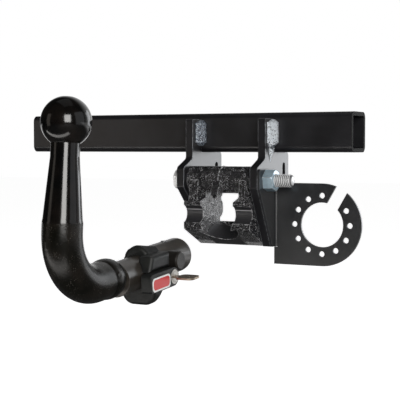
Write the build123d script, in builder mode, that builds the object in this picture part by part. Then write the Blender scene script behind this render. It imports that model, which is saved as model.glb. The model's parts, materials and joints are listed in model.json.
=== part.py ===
from build123d import *
import os
from math import cos, hypot, radians, sin, sqrt

# Towbar with a detachable ball neck, shown drawn out of its receiver. Sizes in millimetres.
# X is to the right seen from behind the vehicle, Y forward to the vehicle, Z up.
# The origin is the middle of the crossbar's vehicle-side face, between the two side plates.

# Crossbar
bar_size = 50
bar_wall = 5
bar_corner = 8
bar_left_length = 312
bar_right_length = 158.5

# Side plates
receiver_width = 91
plate_thickness = 10
plate_reach = 24.5
plate_top = 17
left_plate_overhang = 8.4
right_plate_overhang = -1
plate_round = 5
plate_edge_round = 2
ear_reach = 20.5
ear_rise = 15.5
ear_drop = 9.5
ear_shoulder = 11
toe_depth = 41
knee_drop = 36.5
left_knee_behind = 30
right_knee_behind = 17.5
left_toe_behind = 63
right_toe_behind = 43
toe_width = 18
adjust_slot_width = 9
adjust_slot_length = 30
adjust_slot_inset = 15
adjust_slot_drop = 13
weld_leg = 7.5
weld_bulge = 0.62
weld_end_gap = 1

# Hitch bolt and its hardware
bolt_ahead = 28
bolt_below = 34.5
bolt_diameter = 16
bolt_length = 150
bolt_tip_chamfer = 1.5
bolt_hole_play = 1
thread_play = 0.1
hex_across_flats = 24
bolt_head_height = 10
nut_height = 13
hex_turn = -17.6
hex_chamfer = 1.5

# Hidden fixing bolts behind the socket plate
fixing_diameter = 12
fixing_length = 22
fixing_head_height = 8
fixing_across_flats = 18
fixing_hole_depth = 13
fixing_behind = 45
fixing_below = 38.5
lug_radius = 12
lug_round = 11
lug_width = 17

# Cast receiver
seat_ahead = 23
seat_below = 42.5
boss_diameter = 34
boss_behind = 4.5
cheek_width = 23
cheek_round = 4
groove_radius = 11
lip_reach = 2.4
lip_round = 2
upper_lip_rise = 15.5
upper_lip_slope = 5
lower_lip_drop = 19
cast_toe_behind = 49
receiver_rear_behind = 36
mouth_reach = 53.5
mouth_half_width = 29
mouth_half_height = 36
tray_play = 1
stop_top_below = 11.8
left_rib_x = -41.5
left_rib_width = 12
right_rib_x = 28
right_rib_width = 8
rib_front_ahead = 9
rib_foot_rise = 21
catch_left_x = -8
catch_width = 10
catch_front_ahead = 3
catch_rear_ahead = 16
catch_drop = 23
catch_brow_drop = 12
catch_round = 1.5
catch_taper = 4.2
pocket_play = 0.5

# Socket plate
sheet_thickness = 3
sheet_bend_radius = 3
sheet_setback = 0.5
sheet_relief = 0.5
sheet_skirt_inset = 1.5
flange_rise = 14
flange_top_length = 16
socket_across = 65
socket_below = 54.5
socket_rim_radius = 51
socket_hole_radius = 27.5
screw_circle_diameter = 72
screw_hole_radius = 3.5
screw_positions = 12
cable_slot_position = 2
cable_slot_width = 16

# How the neck is drawn out of its seat
draw_out = 156.4
draw_angle = 15.2
head_tilt = 4.4

# Coupling body and barrel
nose_radius = 10.5
nose_reach = 33.5
nose_chamfer = 1.5
barrel_radius = 19.5
barrel_below_nose = 3
barrel_front = 48
barrel_rear = 12
waist_radius = 18.4
waist_below_nose = 7.6
waist_front = -11
waist_rear = 84.5
spigot_radius = 12
spigot_length = 30
fit_play = 0.05
running_play = 0.1

# Ball neck
ball_diameter = 50
ball_flat_height = 24.2
ball_behind = 170
ball_above = 149
neck_radius = 14.3
neck_root_depth = 34
cone_radius = 19.4
cone_depth = 94
step_length = 3
shank_radius = 20
neck_lean = 4.4
bend_radius = 52
socket_depth = 31
collar_radius = 21.3
collar_end_radius = 14.2
collar_half_length = 18
neck_pin_radius = 2.5
neck_pin_reach = 20.3
neck_pin_inset = 21.5
neck_pin_above = 3.4

# Barrel cap
cap_thickness = 4.6
cap_setback = 0.5
cap_chamfer = 2.5
seal_thickness = 1.2
seal_width = 3.5
seal_setback = 0.7
cap_screw_radius = 3
cap_screw_length = 14.8
cap_screw_head_radius = 6
cap_screw_head_height = 3
cap_screw_key_radius = 2
cap_screw_key_depth = 2

# Release lever, its shaft and cam
pivot_behind = 19
pivot_below = 14
lever_half_height = 10.2
lever_length = 50.5
lever_inner_x = 22.4
lever_outer_x = 35
lever_edge = 0.8
lever_corner = 4
shaft_radius = 5
bush_wall = 1.4
bush_inner_x = 6
bush_outer_x = 16.5
shaft_left_end = 15.5
shaft_right_end = 25.6
cam_width = 10.4
cam_side_play = 0.4
cam_hub_radius = 6.4
cam_base_radius = 5
cam_first_reach = 6.6
cam_swing = 90
cam_steps = 9
cam_room = 0.4
label_length = 38.2
label_height = 14.7
label_corner = 4.5
label_drop = 1.5
label_thickness = 0.6
label_proud = 0.2
label_inset = 3.1

# Lock cylinder and key
lock_radius = 8
lock_depth = 9
lock_proud = 0.4
plug_radius = 5.5
plug_proud = 0.6
plug_depth = 8
key_thickness = 2.2
key_blade_width = 6.8
key_blade_depth = 7
key_stem = 4.5
key_bow_length = 22
key_bow_width = 21
key_bow_round = 6
key_hole_radius = 1.3
key_holes_from_stem = (13.4, 17)

# Locking wedge, bolt and return spring
wedge_radius = 6
wedge_play = 0.3
wedge_rear = 8
wedge_rod_radius = 2.5
rod_play = 0.2
tappet_thickness = 3
tappet_rise = 3.2
tappet_room_height = 10.2
tappet_room_front = 1
tappet_room_rear = 15
tappet_room_play = 0.2
lock_bolt_ahead = 22.4
lock_head_radius = 6
lock_stem_radius = 4
lock_tip_proud = 0.8
ramp_play = 0.2
spring_roof = 4
spring_radius = 5.1
spring_wire_radius = 0.45
spring_turns = 4
plug_thickness = 1.7

# Plastic cover
cover_rear = 39.5
cover_front = 13
cover_half_width = 21
cover_half_height = 34
cover_centre_below = 12.7
cover_depth = 31
cover_bottom_corner = 14
cover_rear_round = 4
cover_front_round = 1.5
cover_crown_length = 5.5
cover_front_top = 17
cover_front_cut = 11
cover_side_cut = 9.2
cover_side_slope = 0.54
cover_play = 0.2
pod_outer_x = 28
pod_inner_x = 12
pod_rear = 58.5
pod_rear_slope = 7
pod_front = 14
pod_top = 12.5
pod_bottom = -3.5
pod_round = 4
cover_screw_radius = 1.6
cover_screw_head_radius = 3
cover_screw_grip = 7
cover_screw_head_height = 2.5
cover_screw_heights = (14.3, -38)

# Places that follow from the sizes above
plate_inner_x = receiver_width / 2
plate_outer_x = plate_inner_x + plate_thickness
bolt_y = -bar_size - bolt_ahead
bolt_z = -bar_size / 2 - bolt_below
seat_y = bolt_y - seat_ahead
seat_z = bolt_z - seat_below
toe_z = seat_z - toe_depth
toe_front_y = seat_y + right_toe_behind
plate_front_y = -bar_size - plate_reach
ear_front_y = bolt_y - ear_reach
cheek_inner_x = plate_inner_x - cheek_width
stop_top_z = seat_z - stop_top_below
boss_y = bolt_y + boss_behind
receiver_rear_y = bolt_y + receiver_rear_behind
cast_toe_y = seat_y + cast_toe_behind
fixing_y = bolt_y + fixing_behind
fixing_z = bolt_z - fixing_below
nut_x = plate_outer_x + sheet_thickness
sheet_y = -bar_size + sheet_setback
barrel_top = barrel_radius - barrel_below_nose
barrel_end = barrel_front + seal_thickness + cap_thickness
cap_screw_tip = barrel_end - cap_screw_head_height - cap_screw_length
wedge_below = barrel_radius + barrel_below_nose - plug_thickness - wedge_radius - wedge_play
tappet_top_below = wedge_below - tappet_rise
spring_room_top = barrel_top - spring_roof
neck_pin_behind = waist_rear + neck_pin_inset
cover_top = cover_half_height - cover_centre_below
cover_bottom = -cover_centre_below - cover_depth
lever_travel = radians(cam_swing) * cam_base_radius
cam_tip_radius = hypot(cam_first_reach + lever_travel, cam_base_radius)
cam_root_radius = hypot(cam_first_reach, cam_base_radius)
cam_room_reach = cam_width / 2 + cam_side_play
label_front = pivot_behind + lever_length - label_inset - label_length
bush_radius = shaft_radius + running_play + bush_wall

# Directions in the Y-Z plane: along the barrel, square to it, and the way the neck is drawn
along = Vector(0, cos(radians(head_tilt)), sin(radians(head_tilt)))
across_up = Vector(0, -sin(radians(head_tilt)), cos(radians(head_tilt)))
draw_direction = Vector(0, cos(radians(draw_angle)), sin(radians(draw_angle)))
neck_up = Vector(0, sin(radians(neck_lean)), cos(radians(neck_lean)))
seat = Vector(0, seat_y, seat_z)
nose = seat - draw_direction * draw_out
ball = nose + Vector(0, -ball_behind, ball_above)
pivot = nose - along * pivot_behind - across_up * pivot_below
forward_down = (along - across_up).normalized()


def side_plane(x, base=nose):
    """The barrel's own side view at x: first along the barrel, then up, from the cross pin's axis."""
    return Plane(origin=base + Vector(x, 0, 0), x_dir=along, z_dir=(1, 0, 0))


def section_plane(ahead, below, base=nose):
    """A plane square to the barrel, ahead of the cross pin, centred below its axis."""
    return Plane(origin=base + along * ahead - across_up * below, x_dir=(-1, 0, 0), z_dir=along)


def level_plane(ahead, above, base=nose):
    """A plane along the barrel and square to the side view, ahead of and above the cross pin."""
    return Plane(origin=base + along * ahead + across_up * above, x_dir=(1, 0, 0), z_dir=across_up)


def rounded_outline(*corners):
    """A closed outline from corners given as (first, second, rounding)."""
    points = [(first, second) for first, second, rounding in corners]
    FilletPolyline(*points, radius=[corner[2] for corner in corners], close=True)


def pivot_circle(radius, inner=0):
    """A circle or ring about the lever's pivot, drawn in the side view."""
    with Locations((-pivot_behind, -pivot_below)):
        Circle(radius)
        if inner:
            Circle(inner, mode=Mode.SUBTRACT)


def cam_flank(first_reach):
    """The cam's involute flank about its pivot at the origin, as it stands at rest."""
    points = []
    for step_index in range(cam_steps + 1):
        turned = radians(cam_swing) * step_index / cam_steps
        reach = first_reach + cam_base_radius * turned
        points.append(
            (
                reach * cos(turned) - cam_base_radius * sin(turned),
                -reach * sin(turned) - cam_base_radius * cos(turned),
            )
        )
    return points


# The cam's flank with its play round it, for the room that it needs at the end of its swing
with BuildSketch() as flank_room:
    with BuildLine():
        roomy_flank = cam_flank(cam_first_reach + cam_room)
        Spline(*roomy_flank)
        Polyline(roomy_flank[-1], (0, 0), roomy_flank[0])
    make_face()


def cam_room_outline():
    """Where the cam turns: its full sweep below the pivot, a small circle and its end place above."""
    pivot_circle(cam_tip_radius + cam_room)
    with Locations((-pivot_behind, -pivot_below)):
        room = 2 * cam_tip_radius
        Rectangle(2 * room, room, align=(Align.CENTER, Align.MIN), mode=Mode.SUBTRACT)
    pivot_circle(cam_root_radius + cam_room)
    with Locations(Location((-pivot_behind, -pivot_below), cam_swing)):
        add(flank_room.sketch)


os.makedirs("parts", exist_ok=True)
node_names = []


def save(piece, name):
    """Names a finished piece and writes it."""
    piece.part.label = name
    node_names.append(name)
    export_step(piece.part, f"parts/{name}.step")


# Crossbar: square tube with sawn open ends
with BuildPart() as crossbar:
    with BuildSketch(Plane.YZ.offset(-bar_left_length)):
        with Locations((-bar_size / 2, 0)):
            RectangleRounded(bar_size, bar_size, bar_corner)
            inner_size = bar_size - 2 * bar_wall
            RectangleRounded(inner_size, inner_size, bar_corner - bar_wall, mode=Mode.SUBTRACT)
    extrude(amount=bar_left_length + bar_right_length)
save(crossbar, "crossbar")


def side_plate(left_x, rear_overhang, knee_y, toe_y):
    """A side plate from its left face: stem in front of the bar, ear round the bolt, toe below."""
    with BuildPart() as plate:
        with BuildSketch(Plane.YZ.offset(left_x)):
            with BuildLine():
                rounded_outline(
                    (plate_front_y, plate_top, plate_edge_round),
                    (-bar_size, plate_top, 0),
                    (-bar_size, -bar_size / 2, 0),
                    (rear_overhang, -bar_size / 2, plate_round),
                    (rear_overhang, fixing_z - ear_drop, plate_round),
                    (toe_y + toe_width, toe_z, plate_round),
                    (toe_y, toe_z, plate_edge_round),
                    (knee_y, bolt_z - knee_drop, plate_round),
                    (ear_front_y, bolt_z - ear_drop, plate_round),
                    (ear_front_y, bolt_z + ear_rise, plate_round),
                    (plate_front_y, bolt_z + ear_rise + ear_shoulder, plate_round),
                )
            make_face()
            with Locations((bolt_y, bolt_z)):
                Circle((bolt_diameter + bolt_hole_play) / 2, mode=Mode.SUBTRACT)
            with Locations((fixing_y, fixing_z)):
                Circle((fixing_diameter + bolt_hole_play) / 2, mode=Mode.SUBTRACT)
            slot_z = -bar_size / 2 - adjust_slot_drop - adjust_slot_length / 2
            with Locations((rear_overhang - adjust_slot_inset, slot_z)):
                SlotOverall(adjust_slot_length, adjust_slot_width, rotation=90, mode=Mode.SUBTRACT)
        extrude(amount=plate_thickness)
    return plate


bracket_left = side_plate(
    -plate_outer_x, left_plate_overhang, seat_y + left_knee_behind, seat_y + left_toe_behind
)
save(bracket_left, "bracket_left")
bracket_right = side_plate(
    plate_inner_x, right_plate_overhang, seat_y + right_knee_behind, seat_y + right_toe_behind
)
save(bracket_right, "bracket_right")

# Weld beads: a fillet down each side of both plates, on the flat of the bar's front face
bead_bottom = -bar_size / 2 + bar_corner
with BuildPart() as weld_beads:
    for face_x, away in (
        (-plate_outer_x, -1),
        (-plate_inner_x, 1),
        (plate_inner_x, -1),
        (plate_outer_x, 1),
    ):
        with BuildSketch(Plane.XY.offset(bead_bottom)):
            with BuildLine():
                foot = (face_x + away * weld_leg, -bar_size)
                top = (face_x, -bar_size - weld_leg)
                Polyline(top, (face_x, -bar_size), foot)
                ThreePointArc(
                    foot,
                    (face_x + away * weld_leg * weld_bulge, -bar_size - weld_leg * weld_bulge),
                    top,
                )
            make_face()
        extrude(amount=plate_top - bead_bottom - weld_end_gap)
save(weld_beads, "weld_beads")

# Cast receiver: cross boss, two cheeks with open saddles, tray with an end stop, rear lugs
cheek_front_y = seat_y + lip_reach
rib_front_y = seat_y + rib_front_ahead
with BuildPart() as catch:
    with BuildSketch(Plane.YZ.offset(catch_left_x)):
        with BuildLine():
            catch_front_y = seat_y + catch_front_ahead
            catch_rear_y = seat_y + catch_rear_ahead
            rounded_outline(
                (boss_y - boss_diameter / 2, bolt_z, 0),
                (catch_front_y, bolt_z - catch_brow_drop, catch_round),
                (catch_front_y, bolt_z - catch_drop, 0),
                (catch_rear_y, bolt_z - catch_drop, 0),
                (catch_rear_y, bolt_z - catch_brow_drop, 0),
                (boss_y, bolt_z, 0),
            )
        make_face()
    extrude(amount=catch_width)
    chamfer(faces().sort_by(Axis.Z)[0].edges().filter_by(Axis.Y), catch_taper)

with BuildPart() as receiver:
    with BuildSketch(Plane.YZ.offset(cheek_inner_x)):
        with BuildLine():
            rounded_outline(
                (boss_y - boss_diameter / 4, bolt_z, 0),
                (boss_y - boss_diameter / 4, seat_z + upper_lip_rise + upper_lip_slope, lip_round),
                (cheek_front_y, seat_z + upper_lip_rise, lip_round),
                (cheek_front_y, seat_z - lower_lip_drop, cheek_round),
                (cast_toe_y, toe_z, cheek_round),
                (receiver_rear_y, toe_z, cheek_round),
                (receiver_rear_y, bolt_z - boss_diameter / 2, cheek_round),
                (boss_y + boss_diameter / 4, bolt_z, 0),
            )
        make_face()
    extrude(amount=cheek_width)
    with BuildSketch(Plane.YZ.offset(plate_inner_x - lug_width)):
        with BuildLine():
            rounded_outline(
                (receiver_rear_y - lug_radius, fixing_z + lug_radius, 0),
                (fixing_y + lug_radius, fixing_z + lug_radius, lug_round),
                (fixing_y + lug_radius, fixing_z - lug_radius, lug_round),
                (receiver_rear_y - lug_radius, fixing_z - lug_radius, 0),
            )
        make_face()
    extrude(amount=lug_width)
    mirror(about=Plane.YZ)
    for rib_x, rib_width in ((left_rib_x, left_rib_width), (right_rib_x, right_rib_width)):
        with BuildSketch(Plane.YZ.offset(rib_x)):
            with BuildLine():
                rounded_outline(
                    (rib_front_y, bolt_z, 0),
                    (rib_front_y, seat_z + rib_foot_rise, cheek_round),
                    ((rib_front_y + cheek_front_y) / 2, seat_z + upper_lip_rise, 0),
                    (receiver_rear_y, seat_z + upper_lip_rise, 0),
                    (receiver_rear_y, bolt_z - boss_diameter / 4, 0),
                    (boss_y, bolt_z, 0),
                )
            make_face()
        extrude(amount=rib_width)
    with BuildSketch(Plane.YZ.offset(-plate_inner_x)):
        with Locations((boss_y, bolt_z)):
            Circle(boss_diameter / 2)
    extrude(amount=receiver_width)
    with BuildSketch(Plane.YZ.offset(-cheek_inner_x)):
        with BuildLine():
            rounded_outline(
                (cheek_front_y, seat_z - lower_lip_drop, cheek_round),
                (cast_toe_y, toe_z, cheek_round),
                (receiver_rear_y, toe_z, cheek_round),
                (receiver_rear_y, stop_top_z, lip_round),
                (cheek_front_y, stop_top_z, 0),
            )
        make_face()
    extrude(amount=2 * cheek_inner_x)
    add(catch.part)
    with BuildSketch(Plane.YZ.offset(-plate_inner_x)):
        with Locations((seat_y, seat_z)):
            Circle(groove_radius)
        with Locations((bolt_y, bolt_z)):
            Circle((bolt_diameter + bolt_hole_play) / 2)
    extrude(amount=receiver_width, mode=Mode.SUBTRACT)
    with BuildSketch(section_plane(barrel_end + tray_play, barrel_below_nose, seat)):
        Circle(barrel_radius + tray_play)
    extrude(amount=draw_out, dir=-draw_direction, mode=Mode.SUBTRACT)
    mouth_seat = seat - draw_direction * mouth_reach
    for base, half_width, half_height in (
        (seat, barrel_radius + tray_play, barrel_radius + tray_play),
        (mouth_seat, mouth_half_width, mouth_half_height),
    ):
        with BuildSketch(section_plane(barrel_end + tray_play, barrel_below_nose, base)):
            Ellipse(half_width, half_height)
            Rectangle(2 * half_width, half_height, align=(Align.CENTER, Align.MIN), mode=Mode.SUBTRACT)
    loft(mode=Mode.SUBTRACT)
    with BuildSketch(level_plane(lock_bolt_ahead, barrel_top, seat)):
        Circle(lock_stem_radius + pocket_play)
    extrude(amount=lock_tip_proud + lever_travel + pocket_play, mode=Mode.SUBTRACT)
    for face_x, inward in ((-plate_inner_x, 1), (plate_inner_x, -1)):
        with BuildSketch(Plane.YZ.offset(face_x)):
            with Locations((fixing_y, fixing_z)):
                Circle(fixing_diameter / 2 + thread_play)
        extrude(amount=inward * fixing_hole_depth, mode=Mode.SUBTRACT)
save(receiver, "receiver")

# Hitch bolt through both plates and the boss, its chamfered head on the left
hex_corner_radius = hex_across_flats / sqrt(3)
with BuildPart() as hitch_bolt:
    with BuildSketch(Plane.YZ.offset(-plate_outer_x - bolt_head_height)):
        with Locations((bolt_y, bolt_z)):
            Circle(hex_corner_radius)
    extrude(amount=bolt_head_height)
    chamfer(faces().sort_by(Axis.X)[0].edges(), hex_chamfer)
    with BuildSketch(Plane.YZ.offset(-plate_outer_x - bolt_head_height)):
        with Locations((bolt_y, bolt_z)):
            RegularPolygon(hex_across_flats / 2, 6, major_radius=False, rotation=hex_turn)
    extrude(amount=bolt_head_height, mode=Mode.INTERSECT)
    with BuildSketch(Plane.YZ.offset(-plate_outer_x)):
        with Locations((bolt_y, bolt_z)):
            Circle(bolt_diameter / 2)
    extrude(amount=bolt_length)
    chamfer(faces().sort_by(Axis.X)[-1].edges(), bolt_tip_chamfer)
save(hitch_bolt, "hitch_bolt")

with BuildPart() as hitch_nut:
    with BuildSketch(Plane.YZ.offset(nut_x)):
        with Locations((bolt_y, bolt_z)):
            Circle(hex_corner_radius)
    extrude(amount=nut_height)
    chamfer(faces().sort_by(Axis.X)[-1].edges(), hex_chamfer)
    with BuildSketch(Plane.YZ.offset(nut_x)):
        with Locations((bolt_y, bolt_z)):
            RegularPolygon(hex_across_flats / 2, 6, major_radius=False, rotation=hex_turn)
            Circle(bolt_diameter / 2 + thread_play, mode=Mode.SUBTRACT)
    extrude(amount=nut_height, mode=Mode.INTERSECT)
save(hitch_nut, "hitch_nut")

# Fixing bolts: one through each plate into the casting's rear lug
with BuildPart() as fixing_bolts:
    for head_x, shank_x in (
        (-plate_outer_x - fixing_head_height, -plate_outer_x),
        (plate_outer_x, plate_outer_x - fixing_length),
    ):
        with BuildSketch(Plane.YZ.offset(head_x)):
            with Locations((fixing_y, fixing_z)):
                RegularPolygon(fixing_across_flats / 2, 6, major_radius=False)
        extrude(amount=fixing_head_height)
        with BuildSketch(Plane.YZ.offset(shank_x)):
            with Locations((fixing_y, fixing_z)):
                Circle(fixing_diameter / 2)
        extrude(amount=fixing_length)
save(fixing_bolts, "fixing_bolts")

# Socket plate: one sheet bent square, its flange under the nut, its face square to the bar
sheet_inner_x = plate_outer_x + sheet_thickness
bend_x = sheet_inner_x + sheet_bend_radius
bend_y = sheet_y - sheet_bend_radius
socket_x = plate_outer_x + socket_across
socket_z = bolt_z - socket_below
with BuildPart() as socket_plate:
    with BuildSketch(Plane.YZ.offset(plate_outer_x)):
        with BuildLine():
            rounded_outline(
                (ear_front_y, bolt_z - ear_drop, plate_round),
                (ear_front_y, bolt_z + flange_rise, plate_round),
                (bolt_y + flange_top_length, bolt_z + flange_rise, plate_edge_round),
                (bend_y, socket_z + socket_rim_radius, 0),
                (bend_y, toe_z, 0),
                (toe_front_y, toe_z, plate_edge_round),
            )
        make_face()
        with Locations((bolt_y, bolt_z)):
            Circle((bolt_diameter + bolt_hole_play) / 2, mode=Mode.SUBTRACT)
    extrude(amount=sheet_thickness)
    with BuildSketch(Plane.XY.offset(toe_z)):
        with Locations((bend_x, bend_y)):
            Circle(sheet_bend_radius + sheet_thickness)
            Circle(sheet_bend_radius, mode=Mode.SUBTRACT)
            Rectangle(
                sheet_bend_radius + sheet_thickness,
                sheet_bend_radius + sheet_thickness,
                align=(Align.MAX, Align.MIN),
                mode=Mode.INTERSECT,
            )
    extrude(amount=socket_z + socket_rim_radius - toe_z)
    with BuildSketch(Plane.XZ.offset(-sheet_y)):
        with Locations((socket_x, socket_z)):
            Circle(socket_rim_radius)
            Rectangle(socket_x - bend_x, 2 * socket_rim_radius, align=(Align.MAX, Align.CENTER))
            skirt_height = toe_z - sheet_relief - socket_z + socket_rim_radius
            with Locations((0, -socket_rim_radius)):
                Rectangle(
                    socket_x - plate_outer_x - sheet_skirt_inset,
                    skirt_height,
                    align=(Align.MAX, Align.MIN),
                )
            Circle(socket_hole_radius, mode=Mode.SUBTRACT)
            step = 360 / screw_positions
            slot_angle = cable_slot_position * step
            with PolarLocations(
                screw_circle_diameter / 2,
                screw_positions - 1,
                start_angle=slot_angle + step,
                angular_range=360 - step,
            ):
                Circle(screw_hole_radius, mode=Mode.SUBTRACT)
            Rectangle(
                2 * socket_rim_radius,
                cable_slot_width,
                rotation=slot_angle,
                align=(Align.MIN, Align.CENTER),
                mode=Mode.SUBTRACT,
            )
    extrude(amount=-sheet_thickness)
save(socket_plate, "socket_plate")

# Coupling body: barrel round the cross pin, waist behind it, spigot in the neck's socket
with BuildPart() as coupling_body:
    for ahead, below, radius, length in (
        (-barrel_rear, barrel_below_nose, barrel_radius, barrel_rear + barrel_front),
        (-waist_rear, waist_below_nose, waist_radius, waist_rear + waist_front),
        (-waist_rear - spigot_length, barrel_below_nose, spigot_radius - fit_play, spigot_length),
    ):
        with BuildSketch(section_plane(ahead, below)):
            Circle(radius)
        extrude(amount=length)
    for reach, place, radius in (
        (barrel_radius, (0, 0), nose_radius + fit_play),
        (waist_radius, (-pivot_behind, -pivot_below), bush_radius),
        (spigot_radius, (-neck_pin_behind, neck_pin_above), neck_pin_radius),
    ):
        with BuildSketch(side_plane(-reach)):
            with Locations(place):
                Circle(radius)
        extrude(amount=2 * reach, mode=Mode.SUBTRACT)
    with BuildSketch(side_plane(-cam_room_reach)):
        cam_room_outline()
    extrude(amount=2 * cam_room_reach, mode=Mode.SUBTRACT)
    room_reach = wedge_radius + tappet_room_play
    with BuildSketch(side_plane(-room_reach)):
        with Locations((-tappet_room_front, -tappet_top_below + rod_play)):
            Rectangle(
                tappet_room_rear - tappet_room_front,
                tappet_room_height,
                align=(Align.MAX, Align.MAX),
            )
    extrude(amount=2 * room_reach, mode=Mode.SUBTRACT)
    for ahead, below, radius, length in (
        (-tappet_room_front, wedge_below, wedge_rod_radius + rod_play, tappet_room_front + wedge_rear),
        (wedge_rear - rod_play, wedge_below, wedge_radius + running_play, barrel_front),
        (cap_screw_tip, barrel_below_nose, cap_screw_radius, barrel_front),
    ):
        with BuildSketch(section_plane(ahead, below)):
            Circle(radius)
        extrude(amount=length, mode=Mode.SUBTRACT)
    with BuildSketch(level_plane(lock_bolt_ahead, -barrel_radius - barrel_below_nose)):
        Circle(lock_head_radius + running_play)
    extrude(amount=spring_room_top + barrel_radius + barrel_below_nose, mode=Mode.SUBTRACT)
    with BuildSketch(level_plane(lock_bolt_ahead, spring_room_top)):
        Circle(lock_stem_radius + running_play)
    extrude(amount=barrel_radius, mode=Mode.SUBTRACT)
save(coupling_body, "coupling_body")

# Cross pin, whose two ends drop into the receiver's saddles
with BuildPart() as cross_pin:
    with BuildSketch(side_plane(-nose_reach)):
        Circle(nose_radius)
    extrude(amount=2 * nose_reach)
    chamfer(edges().filter_by(GeomType.CIRCLE), nose_chamfer)
save(cross_pin, "cross_pin")

# Barrel cap on its seal, with a countersunk screw into the barrel
with BuildPart() as cap_seal:
    with BuildSketch(section_plane(barrel_front, barrel_below_nose)):
        Circle(barrel_radius - seal_setback)
        Circle(barrel_radius - seal_setback - seal_width, mode=Mode.SUBTRACT)
    extrude(amount=seal_thickness)
save(cap_seal, "cap_seal")

with BuildPart() as barrel_cap:
    with BuildSketch(section_plane(barrel_front + seal_thickness, barrel_below_nose)):
        Circle(barrel_radius - cap_setback)
    extrude(amount=cap_thickness)
    chamfer(faces().sort_by(Axis.Y)[-1].edges(), cap_chamfer)
    with Locations(section_plane(barrel_end, barrel_below_nose)):
        CounterSinkHole(cap_screw_radius, cap_screw_head_radius, counter_sink_angle=90)
save(barrel_cap, "barrel_cap")

with BuildPart() as cap_screw:
    head_back = barrel_end - cap_screw_head_height
    with BuildSketch(section_plane(cap_screw_tip, barrel_below_nose)):
        Circle(cap_screw_radius)
    extrude(amount=cap_screw_length)
    with BuildSketch(section_plane(head_back, barrel_below_nose)):
        Circle(cap_screw_radius)
    with BuildSketch(section_plane(barrel_end, barrel_below_nose)):
        Circle(cap_screw_head_radius)
    loft()
    with BuildSketch(section_plane(barrel_end - cap_screw_key_depth, barrel_below_nose)):
        RegularPolygon(cap_screw_key_radius, 6, major_radius=False)
    extrude(amount=cap_screw_key_depth, mode=Mode.SUBTRACT)
save(cap_screw, "cap_screw")

# Plug under the lock bolt, trimmed to the barrel's curve
with BuildPart() as bore_plug:
    with BuildSketch(level_plane(lock_bolt_ahead, -barrel_radius - barrel_below_nose)):
        Circle(lock_head_radius + running_play)
    extrude(amount=plug_thickness)
    with BuildSketch(section_plane(0, barrel_below_nose)):
        Circle(barrel_radius)
    extrude(amount=barrel_front, mode=Mode.INTERSECT)
save(bore_plug, "bore_plug")

# Ball neck: one forging from the socket's collar through the bend and the tapered neck to the ball
collar_behind = waist_rear + collar_half_length
arm_start = nose - along * collar_behind - across_up * barrel_below_nose
down_to_corner = (ball - arm_start).dot(across_up) / neck_up.dot(across_up)
bend_corner = ball - neck_up * down_to_corner
shank_top = ball - neck_up * (cone_depth + step_length)
with BuildPart() as ball_neck:
    with BuildLine() as neck_path:
        FilletPolyline(arm_start, bend_corner, shank_top, radius=bend_radius)
    with BuildSketch(Plane(origin=arm_start, x_dir=(1, 0, 0), z_dir=-along)):
        Circle(shank_radius)
    sweep(path=neck_path.line)
    with BuildSketch(Plane(origin=ball, x_dir=(1, 0, 0), z_dir=Vector(1, 0, 0).cross(neck_up))):
        with BuildLine():
            Polyline(
                (0, 0),
                (neck_radius, 0),
                (neck_radius, -neck_root_depth),
                (cone_radius, -cone_depth),
                (shank_radius, -cone_depth - step_length),
                (0, -cone_depth - step_length),
                close=True,
            )
        make_face()
    revolve(axis=Axis(ball, neck_up))
    with Locations(ball):
        Sphere(ball_diameter / 2)
    with BuildSketch(Plane(origin=ball + neck_up * ball_flat_height, x_dir=(1, 0, 0), z_dir=neck_up)):
        Circle(ball_diameter / 2)
    extrude(amount=ball_diameter - ball_flat_height, mode=Mode.SUBTRACT)
    with BuildSketch(side_plane(0)):
        with BuildLine():
            collar_rear = -collar_behind - collar_half_length
            collar_end_height = collar_end_radius - barrel_below_nose
            ThreePointArc(
                (collar_rear, collar_end_height),
                (-collar_behind, collar_radius - barrel_below_nose),
                (-waist_rear, collar_end_height),
            )
            Polyline(
                (-waist_rear, collar_end_height),
                (-waist_rear, -barrel_below_nose),
                (collar_rear, -barrel_below_nose),
                (collar_rear, collar_end_height),
            )
        make_face()
    revolve(axis=Axis(arm_start, along))
    with BuildSketch(section_plane(-waist_rear - socket_depth, barrel_below_nose)):
        Circle(spigot_radius)
    extrude(amount=socket_depth, mode=Mode.SUBTRACT)
    with BuildSketch(side_plane(-collar_radius)):
        with Locations((-neck_pin_behind, neck_pin_above)):
            Circle(neck_pin_radius)
    extrude(amount=2 * collar_radius, mode=Mode.SUBTRACT)
save(ball_neck, "ball_neck")

with BuildPart() as neck_pin:
    with BuildSketch(side_plane(-neck_pin_reach)):
        with Locations((-neck_pin_behind, neck_pin_above)):
            Circle(neck_pin_radius)
    extrude(amount=2 * neck_pin_reach)
save(neck_pin, "neck_pin")


# Release lever, its shaft in two bushes, and the involute cam between them
label_floor_x = lever_outer_x + label_proud - label_thickness
lock_floor_x = lever_outer_x - lock_depth


def label_outline():
    """The label's rounded outline, drawn in the side view."""
    with Locations((-label_front - label_length / 2, -pivot_below - label_drop)):
        RectangleRounded(label_length, label_height, label_corner)


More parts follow.
